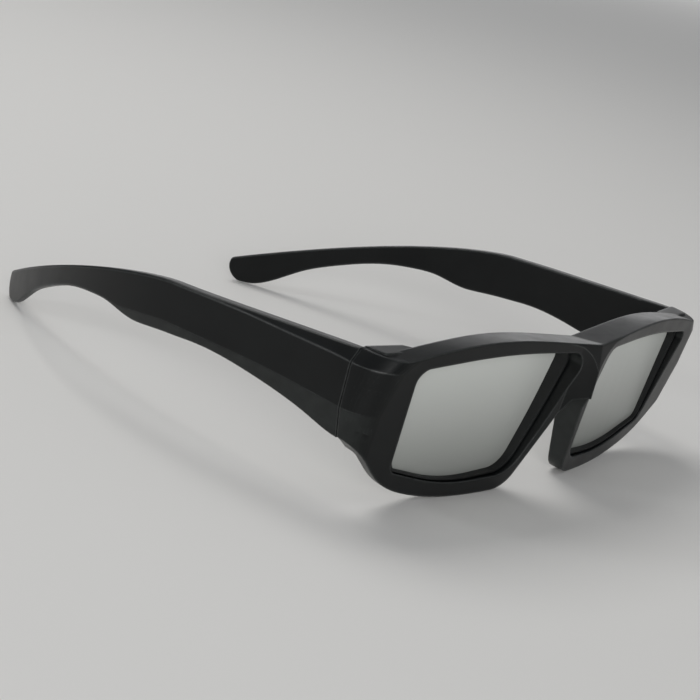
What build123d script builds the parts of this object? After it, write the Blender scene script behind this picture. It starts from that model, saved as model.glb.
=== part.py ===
from build123d import *
from math import cos, radians, tan
import os

# Eclipse viewing glasses: a one-piece wraparound front, two film lenses held by snap-in rings,
# and two folding temples on three-barrel hinges. Millimetres. The glasses stand on a table on
# their lower rims and temple tips, +Z up, the front facing -Y and the wearer's left at +X.
# The origin is under the middle of the bounding box, on the table.

# Driving dimensions
OVERALL_WIDTH = 152.0        # outer face to outer face of the temples
OVERALL_DEPTH = 155.0        # bridge ridge to temple tips
FACE_WRAP = 8.0              # degrees, each half of the front face swept back
FACE_TILT = 10.0             # degrees, top of the front face leaning forward
LENS_WRAP = 5.0              # degrees, lens plane
LENS_TILT = 3.0              # degrees, lens plane
RIDGE_REACH = 11.2           # bridge ridge in front of the foot of the lens plane
FACE_LEAD = 3.5              # foot of the face plane in front of the foot of the lens plane
REAR_WALL = 1.2              # frame behind the lens plane
OVERRUN = 12.0               # how far a cutting or trimming body runs past what it cuts

# Front outline, seen square to the lens plane: places across, as shares of the half width, and
# the heights there, along the brow from the middle and along the rim to its nose-side corner
BROW_SHARES = (0.000, 0.234, 0.480, 0.662)
BROW_HEIGHTS = (41.0, 42.5, 43.2, 42.2)
BROW_SLOPE = 0.17            # fall of the brow's top towards the rear, as a slope
BROW_FRONT = 7.0             # front edge of the brow's middle, in front of the lens plane
END_TOP_SHARE = 0.895        # where the brow meets the end piece
END_FOOT_SHARE = 0.980       # where the end piece starts to run down into the rim
END_STEP = 0.15              # end piece above the temple, at its top and underside
RIM_SHARES = (0.916, 0.808, 0.645, 0.368, 0.179)
RIM_HEIGHTS = (13.4, 6.6, 2.0, 0.12, 1.0)
NOSE_TOP_AT = (3.6, 26.2)    # upper end of the rim's nose side, from the centre line
NOSE_ARCH = 27.2             # underside of the bridge on the centre line
NOSE_CORNER = 7.0            # radius of the rim's nose-side lower corner

# Lens opening, written the same way: its four corners from the nose-side top one downwards,
# their radii, and how far the middle of each following side stands out before it is rounded
OPENING_SHARES = (0.052, 0.184, 0.776, 0.838)
OPENING_HEIGHTS = (39.3, 5.1, 9.0, 36.3)
OPENING_RADII = (4.5, 8.0, 4.0, 3.6)
OPENING_BOWS = (1.1, 3.6, 0, 2.1)
BOW_SHARE = 0.48             # of half a bowed side, taken by the rounding on each side of its middle

# End piece and joint
END_LENGTH = 7.22            # end piece from the face to the joint, at the hinge's height
JOINT_TOP = 38.3
JOINT_HEIGHT = 21.5
JOINT_WALL = 4.4             # thickness of end piece and temple at the joint
JOINT_GAP = 0.3
UPPER_BEVEL = 3.1            # height of the upper bevel at the joint
UPPER_BEVEL_IN = 2.5         # and how far it leans in
LOWER_BEVEL = 7.7
LOWER_BEVEL_IN = 2.0
CORNER_SHARE = 0.88          # of the end piece's length at each height, taken by the outer corner
INNER_CORNER = 1.0
BROW_LAND = 2.2              # least thickness of the corner above the joint

# Web that fills the inner corner above the hinge
WEB_PROUD = 0.5              # its top above the temple's
WEB_THICKNESS = 0.9
WEB_LAP = 0.6                # into the end piece's wall, at the joint
WEB_REACH = 11.0             # along the rear of the rim, from the end piece's inner face
WEB_FALL = 1.9               # forward run of its rear edge over that length
WEB_RUNOUT = 3.5             # further, to where it meets the rim

# Bridge wedge
WEDGE_TOP_HALF = 8.5
WEDGE_FOOT_HALF = 6.0
WEDGE_TOP = 42.0
WEDGE_FOOT = 22.0
RIDGE_KINK = 33.5            # above this height the ridge leans back
RIDGE_LEAN = 9.0             # degrees
RIDGE_SWEEP = 4.0            # degrees, each side of the leaning ridge

# Lens ring and film
RING_CLEARANCE = 0.3         # visible gap between the ring and the opening
RING_LEAD = 2.1              # foot of the ring's front plane in front of the lens plane
RING_WRAP = 6.5              # degrees, ring's front plane
RING_TILT = 6.0              # degrees, ring's front plane
RING_WALL = 0.55             # ring seen from the front
RING_FLANGE = 1.2            # flange past the opening, and its thickness
FLANGE_TOP = 33.0            # upper ends of the flange, which leaves the brow's thin wall alone
FILM_SEAT = 0.3              # width of the ring's shoulder that the film lies on
FILM_PLAY = 0.1
FILM_THICKNESS = 0.2

# Temple
TEMPLE_WALL = 3.2            # where the temple starts to curve inwards
TIP_WALL = 1.5
TEMPLE_SLOPE = 0.075         # fall of the straight top edge, as a slope
BEND_START = 39.7            # where the temple starts to curve inwards, from the joint
DROP_START = 55.0            # where the top edge starts to curve down
TIP_INSET = 29.0             # tip inside the joint's outer face
TIP_DROP = 21.0              # extra drop of the top edge at the tip
TIP_RADIUS = 5.2
EDGE_ROUND = 0.35
LEAST_BEVEL = 0.45

# Hinge
KNUCKLE_RADIUS = 1.5
KNUCKLE_HEIGHT = 2.3
KNUCKLE_GAP = 0.12
KNUCKLE_CLEARANCE = 0.3      # knuckle to the plastic beside it
SCREW_RADIUS = 0.7
SCREW_CLEARANCE = 0.05
SCREW_HEAD_RADIUS = 1.2
SCREW_HEAD_HEIGHT = 0.6
SCREW_SLOT = 0.3
LEAF_THICKNESS = 0.8
LEAF_CLEARANCE = 0.1         # in the slot that takes the front leaf's end
FRONT_LEAF_LENGTH = 4.8
TEMPLE_LEAF_LENGTH = 9.5
STUD_RADIUS = 0.6
STUD_LENGTH = 2.2
STUD_CLEARANCE = 0.05
HINGE_HEIGHT_SHARE = 0.5     # middle of the hinge, as a share of the joint's height

# Temple stations: along the temple, height over the joint's height, upper and lower bevel
# over their heights at the joint
TEMPLE_STATION_SHARES = (
    (0.000, 1.000, 1.00, 1.00),
    (0.069, 0.873, 0.73, 0.78),
    (0.129, 0.767, 0.57, 0.60),
    (0.215, 0.656, 0.33, 0.41),
    (0.283, 0.594, 0.20, 0.30),
    (0.340, 0.578, 0.16, 0.30),
    (0.377, 0.586, 0.16, 0.34),
    (0.412, 0.593, 0.16, 0.37),
    (0.461, 0.588, 0.16, 0.36),
    (0.500, 0.558, 0.16, 0.31),
    (0.542, 0.468, 0.16, 0.12),
    (0.575, 0.392, 0.16, 0.06),
    (0.620, 0.330, 0.16, 0.06),
    (0.675, 0.276, 0.16, 0.06),
    (0.739, 0.256, 0.16, 0.06),
    (0.798, 0.272, 0.16, 0.06),
    (0.858, 0.318, 0.16, 0.06),
    (0.918, 0.432, 0.16, 0.06),
    (0.963, 0.425, 0.16, 0.06),
    (1.010, 0.360, 0.16, 0.06),
)
INSET_POWER = 2.1
DROP_POWER = 1.5

def facet_plane(foot_y, wrap, tilt):
    """Plane of the wearer's left half, swept back and leaning forward, with its normal to the front."""
    across = Vector(1, 0, 0).rotate(Axis.Z, wrap)
    normal = Vector(0, -1, 0).rotate(Axis.X, tilt).rotate(Axis.Z, wrap)
    return Plane(origin=(0, foot_y, 0), x_dir=across, z_dir=normal)


def plane_y(foot_y, wrap, tilt, x, z):
    """Y of such a plane at a given X and Z."""
    return foot_y + x * tan(radians(wrap)) - z * tan(radians(tilt)) / cos(radians(wrap))


# Places worked out from the dimensions
side_x = OVERALL_WIDTH / 2
ridge_y = -OVERALL_DEPTH / 2
tip_y = OVERALL_DEPTH / 2
lens_foot_y = ridge_y + RIDGE_REACH
face_foot_y = lens_foot_y - FACE_LEAD
joint_inner_x = side_x - JOINT_WALL
joint_foot = JOINT_TOP - JOINT_HEIGHT
lower_crease = joint_foot + LOWER_BEVEL
upper_crease = JOINT_TOP - UPPER_BEVEL
plan_top = max(BROW_HEIGHTS) + REAR_WALL
hinge_x = joint_inner_x - KNUCKLE_CLEARANCE - KNUCKLE_RADIUS
hinge_z = joint_foot + JOINT_HEIGHT * HINGE_HEIGHT_SHARE
joint_y = plane_y(face_foot_y, FACE_WRAP, FACE_TILT, side_x, hinge_z) + END_LENGTH
temple_start_y = joint_y + JOINT_GAP
temple_run = tip_y - temple_start_y
hinge_pitch = KNUCKLE_HEIGHT + KNUCKLE_GAP
hinge_half = hinge_pitch + KNUCKLE_HEIGHT / 2
knuckle_reach = KNUCKLE_RADIUS + KNUCKLE_CLEARANCE / 2
bore_radius = SCREW_RADIUS + SCREW_CLEARANCE


lens_plane = facet_plane(lens_foot_y, LENS_WRAP, LENS_TILT)
web_top = JOINT_TOP + WEB_PROUD
web_inner_x = joint_inner_x - WEB_REACH
web_end_x = web_inner_x - WEB_RUNOUT


def side_inset(z):
    """How far the bevels draw the side in at a height."""
    if z > upper_crease:
        return (z - upper_crease) * UPPER_BEVEL_IN / UPPER_BEVEL
    if z < lower_crease:
        return (lower_crease - z) * LOWER_BEVEL_IN / LOWER_BEVEL
    return 0


def front_plan(z):
    """Plan section of half the front and its end piece."""
    outer_x = side_x - side_inset(z)
    inner_x = min(joint_inner_x, outer_x - BROW_LAND)
    rear_shift = REAR_WALL / cos(radians(LENS_WRAP)) / cos(radians(LENS_TILT))
    rear = lens_foot_y + rear_shift
    inner_corner = (inner_x, plane_y(rear, LENS_WRAP, LENS_TILT, inner_x, z))
    outer_corner = (outer_x, plane_y(face_foot_y, FACE_WRAP, FACE_TILT, outer_x, z))
    corner_length = CORNER_SHARE * (joint_y - outer_corner[1])
    with BuildSketch(Plane.XY.offset(z)) as plan:
        with BuildLine():
            Polyline(
                (0, plane_y(face_foot_y, FACE_WRAP, FACE_TILT, 0, z)),
                outer_corner,
                (outer_x, joint_y),
                (inner_x, joint_y),
                inner_corner,
                (0, plane_y(rear, LENS_WRAP, LENS_TILT, 0, z)),
                close=True,
            )
        make_face()
        fillet(
            plan.vertices().sort_by_distance(outer_corner)[0],
            corner_length / tan(radians((90 - FACE_WRAP) / 2)),
        )
        fillet(plan.vertices().sort_by_distance(inner_corner)[0], INNER_CORNER)
    return plan.sketch.face()


def front_outline(forward):
    """Front elevation of half the front, at a distance in front of the lens plane."""
    rise = (forward - BROW_FRONT) * BROW_SLOPE
    brow_places = [(side_x * share, height + rise) for share, height in zip(BROW_SHARES, BROW_HEIGHTS)]
    rim_places = [(side_x * share, height) for share, height in zip(RIM_SHARES, RIM_HEIGHTS)]
    end_top = JOINT_TOP + END_STEP
    end_foot = joint_foot + END_STEP
    with BuildSketch(lens_plane.offset(forward)) as outline:
        with BuildLine():
            brow = Spline(*brow_places, (side_x * END_TOP_SHARE, end_top))
            end_piece = Polyline(
                brow @ 1,
                (side_x + OVERRUN, end_top),
                (side_x + OVERRUN, end_foot),
                (side_x * END_FOOT_SHARE, end_foot),
            )
            rim = Spline(end_piece @ 1, *rim_places)
            Polyline(
                rim @ 1,
                NOSE_TOP_AT,
                (0, NOSE_ARCH),
                (-OVERRUN, NOSE_ARCH),
                (-OVERRUN, brow_places[0][1]),
                brow @ 0,
            )
        make_face()
        fillet(outline.vertices().sort_by_distance(rim @ 1)[0], NOSE_CORNER)
    return outline.sketch.face()


def opening_outline(growth=0):
    """Lens opening on the lens plane, with every side moved outwards by growth."""
    corners = [Vector(side_x * share, height) for share, height in zip(OPENING_SHARES, OPENING_HEIGHTS)]
    points, radii = [], []
    for corner, after, radius, bow in zip(corners, corners[1:] + corners[:1], OPENING_RADII, OPENING_BOWS):
        side = after - corner
        points.append(corner)
        radii.append(radius)
        if bow:
            points.append((corner + after) / 2 + side.normalized().rotate(Axis.Z, -90) * bow)
            radii.append(BOW_SHARE * side.length**2 / (4 * bow))
    with BuildSketch() as opening:
        with BuildLine():
            Polyline(*points, close=True)
        make_face()
        if growth:
            offset(amount=growth, kind=Kind.INTERSECTION)
        for point, radius in zip(points, radii):
            fillet(opening.vertices().sort_by_distance(point)[0], radius + growth)
    return opening.sketch.face()


def flange_outline(growth=0):
    """Outline of the ring's flange or, with a growth, of the rebate that takes it."""
    with BuildSketch() as flange:
        add(opening_outline(RING_FLANGE + growth))
        with Locations((side_x / 2, FLANGE_TOP + growth)):
            Rectangle(OVERALL_WIDTH, FLANGE_TOP * 2, align=(Align.CENTER, Align.MAX), mode=Mode.INTERSECT)
    return flange.sketch.face()


def bridge_plan(z):
    """Plan section of the bridge wedge: a shallow V standing out from the two faces."""
    rise = (z - WEDGE_FOOT) / (WEDGE_TOP - WEDGE_FOOT)
    half = WEDGE_FOOT_HALF + (WEDGE_TOP_HALF - WEDGE_FOOT_HALF) * rise
    face_side = plane_y(face_foot_y, FACE_WRAP, FACE_TILT, half, z)
    back = plane_y(lens_foot_y, LENS_WRAP, LENS_TILT, 0, z)
    with BuildSketch(Plane.XY.offset(z)) as plan:
        with BuildLine():
            Polyline((0, ridge_y), (half, face_side), (half, back), (0, back), close=True)
        make_face()
    return plan.sketch.face()


def ridge_trim(z):
    """Plan section of what the leaning ridge leaves away, in front of both faces."""
    ridge = ridge_y + (z - RIDGE_KINK) * tan(radians(RIDGE_LEAN))
    with BuildSketch(Plane.XY.offset(z)) as plan:
        with BuildLine():
            Polyline(
                (0, ridge),
                (side_x, ridge + side_x * tan(radians(RIDGE_SWEEP))),
                (side_x, ridge_y - OVERRUN),
                (0, ridge_y - OVERRUN),
                close=True,
            )
        make_face()
    return plan.sketch.face()


def stud_places(start_y, direction, count, pitch):
    """Axes of the studs that fix a hinge leaf, on the inner face at the joint."""
    return [
        Plane(origin=(joint_inner_x, start_y + direction * pitch * (step + 1), hinge_z), z_dir=(1, 0, 0))
        for step in range(count)
    ]


# Half of the front: plan sections joined by flat and evenly bent faces, trimmed to the outline
plan_heights = (
    -REAR_WALL,
    lower_crease,
    upper_crease,
    upper_crease + (JOINT_WALL - BROW_LAND) * UPPER_BEVEL / UPPER_BEVEL_IN,
    plan_top,
)
front_studs = stud_places(joint_y, -1, 1, FRONT_LEAF_LENGTH - STUD_RADIUS * 2)
temple_studs = stud_places(temple_start_y, 1, 2, (TEMPLE_LEAF_LENGTH - STUD_RADIUS * 2) / 2)

with BuildPart() as front_half:
    loft([front_plan(z) for z in plan_heights], ruled=True)
    loft([bridge_plan(z) for z in (WEDGE_FOOT, WEDGE_TOP)], ruled=True)
    loft([ridge_trim(z) for z in (RIDGE_KINK, plan_top)], ruled=True, mode=Mode.SUBTRACT)
    loft([front_outline(-OVERRUN), front_outline(OVERRUN)], ruled=True, mode=Mode.INTERSECT)
    with BuildSketch(Plane.XY.offset(web_top)):
        with BuildLine():
            Polyline(
                (joint_inner_x + WEB_LAP, joint_y),
                (web_inner_x, joint_y - WEB_FALL),
                (web_end_x, plane_y(lens_foot_y, LENS_WRAP, LENS_TILT, web_end_x, web_top)),
                (
                    joint_inner_x - WEB_LAP,
                    plane_y(lens_foot_y, LENS_WRAP, LENS_TILT, joint_inner_x, web_top),
                ),
                close=True,
            )
        make_face()
    extrude(amount=-WEB_THICKNESS)
    with BuildSketch(lens_plane):
        add(opening_outline())
    extrude(amount=OVERRUN, both=True, mode=Mode.SUBTRACT)
    with BuildSketch(lens_plane):
        add(flange_outline(RING_CLEARANCE))
    extrude(amount=-OVERRUN, mode=Mode.SUBTRACT)
    with BuildSketch(Plane.XY.offset(hinge_z)):
        with Locations((joint_inner_x, joint_y)):
            Rectangle(
                LEAF_THICKNESS + LEAF_CLEARANCE,
                FRONT_LEAF_LENGTH + LEAF_CLEARANCE,
                align=(Align.MAX, Align.MAX),
            )
    extrude(amount=hinge_half + LEAF_CLEARANCE, both=True, mode=Mode.SUBTRACT)
    with BuildSketch(*front_studs):
        Circle(STUD_RADIUS + STUD_CLEARANCE)
    extrude(amount=STUD_LENGTH + STUD_CLEARANCE, mode=Mode.SUBTRACT)

with BuildPart() as front_frame:
    add(front_half.part)
    mirror(about=Plane.YZ)
front_frame.part.label = "front_frame"

# Lens ring: a spigot that stands in the opening, a flange in the rebate behind it, and a
# shoulder that the film lies on
with BuildPart() as lens_ring_left:
    with BuildSketch(lens_plane.offset(-RING_FLANGE)):
        add(opening_outline(-RING_CLEARANCE))
    extrude(amount=RING_FLANGE + OVERRUN)
    with BuildSketch(lens_plane):
        add(flange_outline())
    extrude(amount=-RING_FLANGE)
    with BuildSketch(lens_plane.offset(-RING_FLANGE)):
        add(opening_outline(-RING_CLEARANCE - RING_WALL))
    extrude(amount=RING_FLANGE + OVERRUN * 2, mode=Mode.SUBTRACT)
    with BuildSketch(lens_plane):
        add(opening_outline(FILM_SEAT - RING_CLEARANCE - RING_WALL))
    extrude(amount=-RING_FLANGE, mode=Mode.SUBTRACT)
    with BuildSketch(facet_plane(lens_foot_y - RING_LEAD, RING_WRAP, RING_TILT)):
        Rectangle(OVERALL_WIDTH * 2, OVERALL_WIDTH)
    extrude(amount=OVERRUN * 2, mode=Mode.SUBTRACT)

with BuildPart() as lens_film_left:
    with BuildSketch(lens_plane):
        add(opening_outline(FILM_SEAT - RING_CLEARANCE - RING_WALL - FILM_PLAY))
    extrude(amount=-FILM_THICKNESS)


def temple_section(shares):
    """Section of the left temple, square to its path in plan."""
    along_share, height_share, upper_share, lower_share = shares
    along = temple_run * along_share
    bend = max(along - BEND_START, 0) / (temple_run - BEND_START)
    sink = max(along - DROP_START, 0) / (temple_run - DROP_START)
    outer = side_x - TIP_INSET * bend**INSET_POWER
    lean = TIP_INSET * INSET_POWER * bend ** (INSET_POWER - 1) / (temple_run - BEND_START)
    top = JOINT_TOP - along * TEMPLE_SLOPE - TIP_DROP * sink**DROP_POWER
    foot = top - JOINT_HEIGHT * height_share
    upper = max(UPPER_BEVEL * upper_share, LEAST_BEVEL)
    lower = max(LOWER_BEVEL * lower_share, LEAST_BEVEL)
    upper_in = upper * UPPER_BEVEL_IN / UPPER_BEVEL
    lower_in = lower * LOWER_BEVEL_IN / LOWER_BEVEL
    thinning = min(max(along - TEMPLE_LEAF_LENGTH, 0) / (BEND_START - TEMPLE_LEAF_LENGTH), 1)
    wall = JOINT_WALL - (JOINT_WALL - TEMPLE_WALL) * thinning - (TEMPLE_WALL - TIP_WALL) * bend
    station = Plane(origin=(outer, temple_start_y + along, 0), x_dir=(1, lean, 0), z_dir=(lean, -1, 0))
    with BuildSketch(station) as section:
        with BuildLine():
            Polyline(
                (0, foot + lower),
                (0, top - upper),
                (-upper_in, top),
                (-wall, top),
                (-wall, foot),
                (-lower_in, foot),
                close=True,
            )
        make_face()
        fillet(section.vertices(), EDGE_ROUND)
    return section.sketch.face()


with BuildPart() as temple_left:
    loft([temple_section(shares) for shares in TEMPLE_STATION_SHARES])
    with BuildSketch(Plane.YZ):
        with Locations((tip_y - TIP_RADIUS, TIP_RADIUS)):
            Circle(TIP_RADIUS)
        with Locations((joint_y, 0)):
            Rectangle(tip_y - TIP_RADIUS - joint_y, OVERALL_DEPTH, align=(Align.MIN, Align.MIN))
    extrude(amount=OVERALL_WIDTH, mode=Mode.INTERSECT)
    with BuildSketch():
        with Locations((joint_inner_x, joint_y)):
            Rectangle(
                OVERRUN,
                TEMPLE_LEAF_LENGTH + JOINT_GAP + LEAF_CLEARANCE,
                align=(Align.MAX, Align.MIN),
            )
    extrude(amount=JOINT_TOP, mode=Mode.SUBTRACT)
    with BuildSketch(*temple_studs):
        Circle(STUD_RADIUS + STUD_CLEARANCE)
    extrude(amount=STUD_LENGTH + STUD_CLEARANCE, mode=Mode.SUBTRACT)


# Hinge: two knuckles on the front leaf, one on the temple leaf between them, and a screw
def knuckle_plane(step):
    """Underside of a knuckle: -1, 0 or 1 from the lowest to the highest."""
    return Plane(origin=(hinge_x, joint_y, hinge_z + step * hinge_pitch - KNUCKLE_HEIGHT / 2))


def leaf_box(z_plane, start, end, height):
    """Flat box of a hinge leaf against the plastic, from start to end along Y past the joint."""
    with BuildPart() as box:
        with BuildSketch(z_plane):
            with Locations((joint_inner_x - hinge_x, start)):
                Rectangle(LEAF_THICKNESS, end - start, align=(Align.MAX, Align.MIN))
        extrude(amount=height)
    return box.part


def knuckle(step):
    """Knuckle with the web that joins it to its leaf."""
    with BuildPart() as barrel:
        with BuildSketch(knuckle_plane(step)):
            Circle(KNUCKLE_RADIUS)
        extrude(amount=KNUCKLE_HEIGHT)
    return barrel.part


with BuildPart() as hinge_front_leaf_left:
    low_plane = Plane(origin=(hinge_x, joint_y, hinge_z - hinge_half))
    add(leaf_box(low_plane, -FRONT_LEAF_LENGTH, -knuckle_reach, hinge_half * 2))
    for step in (-1, 1):
        add(leaf_box(knuckle_plane(step), -knuckle_reach, 0, KNUCKLE_HEIGHT))
        add(knuckle(step))
    with BuildSketch(*front_studs):
        Circle(STUD_RADIUS)
    extrude(amount=STUD_LENGTH)
    with BuildSketch(low_plane):
        Circle(bore_radius)
    extrude(amount=hinge_half * 2, mode=Mode.SUBTRACT)

with BuildPart() as hinge_temple_leaf_left:
    add(leaf_box(low_plane, knuckle_reach, TEMPLE_LEAF_LENGTH + JOINT_GAP, hinge_half * 2))
    add(leaf_box(knuckle_plane(0), 0, knuckle_reach, KNUCKLE_HEIGHT))
    add(knuckle(0))
    with BuildSketch(*temple_studs):
        Circle(STUD_RADIUS)
    extrude(amount=STUD_LENGTH)
    with BuildSketch(low_plane):
        Circle(bore_radius)
    extrude(amount=hinge_half * 2, mode=Mode.SUBTRACT)

with BuildPart() as hinge_screw_left:
    with BuildSketch(low_plane):
        Circle(SCREW_RADIUS)
    extrude(amount=hinge_half * 2)
    with BuildSketch(low_plane.offset(hinge_half * 2)):
        Circle(SCREW_HEAD_RADIUS)
    extrude(amount=SCREW_HEAD_HEIGHT)
    with BuildSketch(low_plane.offset(hinge_half * 2 + SCREW_HEAD_HEIGHT)):
        Rectangle(SCREW_HEAD_RADIUS * 2, SCREW_SLOT)
    extrude(amount=-SCREW_HEAD_HEIGHT / 2, mode=Mode.SUBTRACT)

# Each left-hand piece has its mirror image on the wearer's right
left_pieces = {
    "lens_ring": lens_ring_left,
    "lens_film": lens_film_left,
    "temple": temple_left,
    "hinge_front_leaf": hinge_front_leaf_left,
    "hinge_temple_leaf": hinge_temple_leaf_left,
    "hinge_screw": hinge_screw_left,
}
os.makedirs("parts", exist_ok=True)
export_step(front_frame.part, "parts/front_frame.step")
for name, left in left_pieces.items():
    with BuildPart() as right:
        add(left.part)
        mirror(about=Plane.YZ, mode=Mode.REPLACE)
    left.part.label = name + "_left"
    right.part.label = name + "_right"
    export_step(left.part, f"parts/{name}_left.step")
    export_step(right.part, f"parts/{name}_right.step")
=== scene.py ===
from math import radians

import bmesh
import bpy
from mathutils import Euler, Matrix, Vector

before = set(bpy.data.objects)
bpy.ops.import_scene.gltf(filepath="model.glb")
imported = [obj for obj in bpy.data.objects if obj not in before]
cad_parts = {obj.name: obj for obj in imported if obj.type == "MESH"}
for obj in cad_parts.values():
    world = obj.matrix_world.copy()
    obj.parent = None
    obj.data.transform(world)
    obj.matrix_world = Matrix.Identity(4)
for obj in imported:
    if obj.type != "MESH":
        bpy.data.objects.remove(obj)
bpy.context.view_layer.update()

scene = bpy.context.scene

# Lengths and places are in metres. A texture is a noise in the object's own space, its scale per metre

# Camera: the photograph's viewing angle, in the row frame. Its turns are in degrees
CAMERA_PLACE = (-0.42539, -0.29044, 0.15743)
CAMERA_TURNS = (73.606, -14.168, -51.981)
FOCAL_LENGTH_MM = 102.25
SENSOR_WIDTH_MM = 36.0
CLIP_START = 0.01
CLIP_END = 20.0

# Moulded plastic of the frame, the temples and the rings
PLASTIC_IOR = 1.49
PLASTIC_SPECULAR = 0.22
BEVEL_SAMPLES = 4
FRAME_EDGE = 0.0008                # radius of the softened edges
RING_EDGE = 0.00015
EDGE_HIGHLIGHT_SHARE = 0.6                 # of that radius, painted lighter as an edge highlight
EDGE_HIGHLIGHT_TURNS = (0.984, 0.9982)     # cosine of the softened normal's turn, from painted highlight to none
EDGE_HIGHLIGHT_COVER = (0.55, 1.0)         # least and most of the painted edge highlight in its patches
UNDERSIDE_LIGHT_NORMALS = (-0.255, -0.185)   # vertical share of the normal, from painted underside light to none
UNDERSIDE_LIGHT_COVER = (0.4, 0.7)
MOTTLE = {"scale": 60.0, "detail": 3.0, "rough": 0.5}
UNDERSIDE_LIGHT_NOISE = {"scale": 240.0, "detail": 3.0, "rough": 0.6}
EDGE_HIGHLIGHT_NOISE = {"scale": 700.0, "detail": 3.0, "rough": 0.6}
SMEAR = {"scale": 160.0, "detail": 4.0, "rough": 0.6}
GRAIN = {"scale": 5200.0, "detail": 1.0, "rough": 0.4}
GRAIN_STRENGTH = 0.10
GRAIN_HEIGHT = 0.00004

# Silver film
FILM_METALLIC = 0.05
FILM_SPECULAR = 0.3
FILM_PAINTED_DARK = (0.225, 0.233, 0.219, 1)
FILM_PAINTED_LIGHT = (0.610, 0.628, 0.600, 1)
FILM_STOPS = (0.01, 0.96)
FILM_PAINTED_GRADIENT_HEIGHTS = (0.004, 0.036)      # between these the film turns from its low to its high colour, a painted reflection: darker at the bottom, lighter at the top
FILM_ROUGHNESS = (0.30, 0.38)
HAZE = {"scale": 9.0, "detail": 2.0, "rough": 0.5, "stretch": (1.0, 1.0, 2.2)}
HAZE_SHARE = 0.05
BRUSHING = {"scale": 420.0, "detail": 3.0, "rough": 0.6, "stretch": (1.0, 1.0, 0.06)}
WAVES = {"scale": 26.0, "detail": 1.0, "rough": 0.3}
WAVE_STRENGTH = 0.06
WAVE_HEIGHT = 0.0006

# Hinge steel
STEEL_DARK = (0.20, 0.20, 0.205, 1)
STEEL_LIGHT = (0.30, 0.30, 0.305, 1)
STEEL_ROUGHNESS = (0.28, 0.42)
CLOUD = {"scale": 300.0, "detail": 3.0, "rough": 0.5}
MILLING = {"scale": 1500.0, "detail": 2.0, "rough": 0.5, "stretch": (1.0, 1.0, 0.1)}
MILLING_STRENGTH = 0.15
MILLING_HEIGHT = 0.00003

# Floor and world
FLOOR_COLOUR = (0.80, 0.79, 0.77, 1)
FLOOR_ROUGHNESS = 0.75
FLOOR_HALF_WIDTH = 4.0
SKY_STRENGTH = 0.34
SKY_HORIZON = (0.16, 0.17, 0.18, 1)
SKY_ABOVE = (1.0, 1.02, 1.05, 1)
SKY_STOPS = (0.0, 0.9)             # vertical share of the direction

# Lamps: name, place, point aimed at, width and height, watts, colour
LAMPS = (
    ("key", (0.10, 0.50, 0.85), (0, 0, 0.02), (0.6, 0.6), 3.3, (1.0, 0.99, 0.97)),
    ("front", (-0.95, -0.95, 0.38), (0, -0.06, 0.03), (0.9, 0.5), 9.5, (1, 1, 1)),
    ("brow", (1.80, 1.32, 0.26), (0, -0.05, 0.03), (1.3, 0.45), 2.5, (1, 1, 1)),
    ("edge", (-1.00, 0.68, 0.36), (0, 0, 0.02), (0.25, 0.2), 2.1, (0.97, 0.99, 1.0)),
)


# Helpers for the node materials. Those that add a node return its output socket

def set_inputs(tree, node, values):
    """Link each named input to a socket, or set it to a plain value."""
    for name, value in values.items():
        if isinstance(value, bpy.types.NodeSocket):
            tree.links.new(value, node.inputs[name])
        else:
            node.inputs[name].default_value = value


def new_material(name):
    mat = bpy.data.materials.new(name)
    mat.use_nodes = True
    return mat, mat.node_tree, mat.node_tree.nodes["Principled BSDF"]


def noise(tree, scale, detail, rough, stretch=None):
    place = tree.nodes.new("ShaderNodeTexCoord").outputs["Object"]
    if stretch:
        mapping = tree.nodes.new("ShaderNodeMapping")
        set_inputs(tree, mapping, {"Vector": place, "Scale": stretch})
        place = mapping.outputs["Vector"]
    node = tree.nodes.new("ShaderNodeTexNoise")
    set_inputs(tree, node, {"Vector": place, "Scale": scale, "Detail": detail, "Roughness": rough})
    return node.outputs["Fac"]


def ramp(tree, source, low, high, stops=(0.35, 0.65)):
    """Colour that runs from low to high between two stops."""
    node = tree.nodes.new("ShaderNodeValToRGB")
    for element, stop, colour in zip(node.color_ramp.elements, stops, (low, high)):
        element.position = stop
        element.color = colour
    set_inputs(tree, node, {"Fac": source})
    return node.outputs["Color"]


def remap(tree, source, results, ends=(0.3, 0.7)):
    """Value that runs between two results while the source runs between two ends."""
    node = tree.nodes.new("ShaderNodeMapRange")
    set_inputs(tree, node, {
        "Value": source,
        "From Min": ends[0],
        "From Max": ends[1],
        "To Min": results[0],
        "To Max": results[1],
    })
    return node.outputs["Result"]


def multiply(tree, first, second):
    node = tree.nodes.new("ShaderNodeMath")
    node.operation = "MULTIPLY"
    set_inputs(tree, node, {0: first, 1: second})
    return node.outputs["Value"]


def multiply_add(tree, first, second, addend):
    node = tree.nodes.new("ShaderNodeMath")
    node.operation = "MULTIPLY_ADD"
    set_inputs(tree, node, {0: first, 1: second, 2: addend})
    return node.outputs["Value"]


def alignment(tree, first, second):
    """Cosine of the angle between two normals."""
    node = tree.nodes.new("ShaderNodeVectorMath")
    node.operation = "DOT_PRODUCT"
    set_inputs(tree, node, {0: first, 1: second})
    return node.outputs["Value"]


def height_of(tree, vector):
    node = tree.nodes.new("ShaderNodeSeparateXYZ")
    set_inputs(tree, node, {"Vector": vector})
    return node.outputs["Z"]


def mix(tree, amount, first, second):
    """First colour, giving way to the second."""
    node = tree.nodes.new("ShaderNodeMix")
    node.data_type = "RGBA"
    set_inputs(tree, node, {"Factor": amount, "A": first, "B": second})
    return node.outputs["Result"]


def softened_normal(tree, radius):
    """Normal with the edges rounded to this radius."""
    node = tree.nodes.new("ShaderNodeBevel")
    node.samples = BEVEL_SAMPLES
    set_inputs(tree, node, {"Radius": radius})
    return node.outputs["Normal"]


def bump(tree, height, strength, distance, normal=None):
    node = tree.nodes.new("ShaderNodeBump")
    set_inputs(tree, node, {"Height": height, "Strength": strength, "Distance": distance})
    if normal is not None:
        set_inputs(tree, node, {"Normal": normal})
    return node.outputs["Normal"]


# Materials

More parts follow.
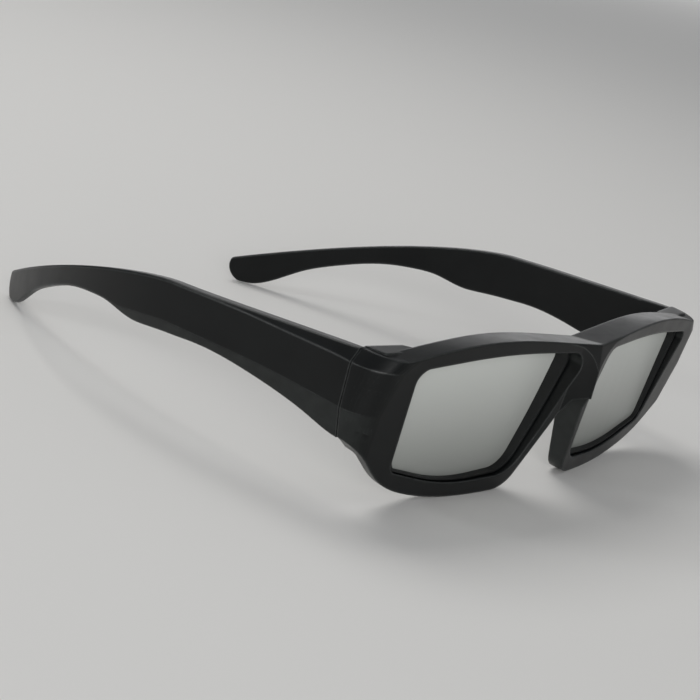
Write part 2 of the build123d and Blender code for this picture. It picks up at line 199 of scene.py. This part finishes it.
def plastic(name, dark, light, painted_underside_light, painted_edge_highlight, roughness, edge):
    """Satin moulded plastic: fine grain, slight mottling, painted light on the undersides, softened edges
    with a painted highlight.
    """
    mat, tree, shader = new_material(name)
    soft = softened_normal(tree, edge)
    black = ramp(tree, noise(tree, **MOTTLE), dark, light)

    # Painted reflected light: faces turned downward are painted lighter, in broken patches
    underside = remap(tree, height_of(tree, soft), (1.0, 0.0), UNDERSIDE_LIGHT_NORMALS)
    underside_light_patches = remap(tree, noise(tree, **UNDERSIDE_LIGHT_NOISE), UNDERSIDE_LIGHT_COVER)
    with_underside_light = mix(tree, multiply(tree, underside, underside_light_patches), black, painted_underside_light)

    # Painted highlight: convex edges and creases are painted lighter, in patches
    face_normal = tree.nodes.new("ShaderNodeNewGeometry").outputs["True Normal"]
    turn = alignment(tree, softened_normal(tree, edge * EDGE_HIGHLIGHT_SHARE), face_normal)
    at_edge = remap(tree, turn, (1.0, 0.0), EDGE_HIGHLIGHT_TURNS)
    highlight_patches = remap(tree, noise(tree, **EDGE_HIGHLIGHT_NOISE), EDGE_HIGHLIGHT_COVER)
    with_edge_highlight = mix(tree, multiply(tree, highlight_patches, at_edge), with_underside_light, painted_edge_highlight)

    set_inputs(tree, shader, {
        "Base Color": with_edge_highlight,
        "IOR": PLASTIC_IOR,
        "Specular IOR Level": PLASTIC_SPECULAR,
        "Roughness": remap(tree, noise(tree, **SMEAR), roughness),
        "Normal": bump(tree, noise(tree, **GRAIN), GRAIN_STRENGTH, GRAIN_HEIGHT, soft),
    })
    return mat


def silver_film():
    """Metallised film: silver grey, with a painted reflection that makes it lighter towards the brow and
    darker towards the bottom, faintly brushed, with long soft waves.
    """
    mat, tree, shader = new_material("silver_film")
    place = tree.nodes.new("ShaderNodeTexCoord").outputs["Object"]
    # Painted reflection: the colour climbs from dark at the bottom to light at the top
    painted_reflection_climb = remap(tree, height_of(tree, place), (0.0, 1.0), FILM_PAINTED_GRADIENT_HEIGHTS)
    tone_with_painted_reflection = multiply_add(tree, noise(tree, **HAZE), HAZE_SHARE, painted_reflection_climb)
    set_inputs(tree, shader, {
        "Base Color": ramp(tree, tone_with_painted_reflection, FILM_PAINTED_DARK, FILM_PAINTED_LIGHT, FILM_STOPS),
        "Metallic": FILM_METALLIC,
        "Specular IOR Level": FILM_SPECULAR,
        "Roughness": remap(tree, noise(tree, **BRUSHING), FILM_ROUGHNESS),
        "Normal": bump(tree, noise(tree, **WAVES), WAVE_STRENGTH, WAVE_HEIGHT),
    })
    return mat


def dark_steel():
    """Hinge steel: dark, a little cloudy, with fine milling lines."""
    mat, tree, shader = new_material("dark_hinge_steel")
    milling = noise(tree, **MILLING)
    set_inputs(tree, shader, {
        "Base Color": ramp(tree, noise(tree, **CLOUD), STEEL_DARK, STEEL_LIGHT),
        "Metallic": 1.0,
        "Roughness": remap(tree, milling, STEEL_ROUGHNESS),
        "Normal": bump(tree, milling, MILLING_STRENGTH, MILLING_HEIGHT),
    })
    return mat


frame_plastic = plastic(
    "satin_black_plastic",
    dark=(0.0028, 0.0034, 0.0036, 1),
    light=(0.0046, 0.0054, 0.0056, 1),
    painted_underside_light=(0.026, 0.029, 0.028, 1),
    painted_edge_highlight=(0.060, 0.064, 0.063, 1),
    roughness=(0.28, 0.36),
    edge=FRAME_EDGE,
)
ring_plastic = plastic(
    "ring_black_plastic",
    dark=(0.0105, 0.0112, 0.0112, 1),
    light=(0.0145, 0.0152, 0.0152, 1),
    painted_underside_light=(0.016, 0.017, 0.017, 1),
    painted_edge_highlight=(0.030, 0.032, 0.032, 1),
    roughness=(0.36, 0.48),
    edge=RING_EDGE,
)

looks = {"lens_film": silver_film(), "lens_ring": ring_plastic, "hinge": dark_steel()}


def look_of(name):
    """Look of a CAD piece, by the start of its name. The front and the temples are the rest."""
    for start, look in looks.items():
        if name.startswith(start):
            return look
    return frame_plastic


for name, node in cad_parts.items():
    for slot in node.material_slots:
        slot.material = look_of(name)


# Surroundings

def add_camera():
    data = bpy.data.cameras.new("camera")
    data.lens = FOCAL_LENGTH_MM
    data.sensor_width = SENSOR_WIDTH_MM
    data.clip_start = CLIP_START
    data.clip_end = CLIP_END
    camera = bpy.data.objects.new("camera", data)
    scene.collection.objects.link(camera)
    camera.location = CAMERA_PLACE
    camera.rotation_euler = Euler([radians(turn) for turn in CAMERA_TURNS], "XYZ")
    scene.camera = camera


def add_floor():
    mat, tree, shader = new_material("pale_floor")
    set_inputs(tree, shader, {"Base Color": FLOOR_COLOUR, "Roughness": FLOOR_ROUGHNESS})
    mesh = bpy.data.meshes.new("floor")
    shape = bmesh.new()
    bmesh.ops.create_grid(shape, x_segments=1, y_segments=1, size=FLOOR_HALF_WIDTH)
    shape.to_mesh(mesh)
    shape.free()
    mesh.materials.append(mat)
    floor = bpy.data.objects.new("floor", mesh)
    scene.collection.objects.link(floor)


def add_world():
    """A soft sky, darker towards the horizon."""
    world = bpy.data.worlds.new("studio")
    world.use_nodes = True
    scene.world = world
    tree = world.node_tree
    direction = tree.nodes.new("ShaderNodeTexCoord").outputs["Generated"]
    set_inputs(tree, tree.nodes["Background"], {
        "Color": ramp(tree, height_of(tree, direction), SKY_HORIZON, SKY_ABOVE, SKY_STOPS),
        "Strength": SKY_STRENGTH,
    })


def add_lamp(name, place, aim, size, watts, colour):
    data = bpy.data.lights.new(name, "AREA")
    data.shape = "RECTANGLE"
    data.size, data.size_y = size
    data.energy = watts
    data.color = colour
    lamp = bpy.data.objects.new(name, data)
    lamp.location = place
    lamp.rotation_euler = (Vector(aim) - Vector(place)).to_track_quat("-Z", "Y").to_euler()
    scene.collection.objects.link(lamp)


add_camera()
add_floor()
add_world()
for settings in LAMPS:
    add_lamp(*settings)

scene.view_settings.view_transform = "Standard"
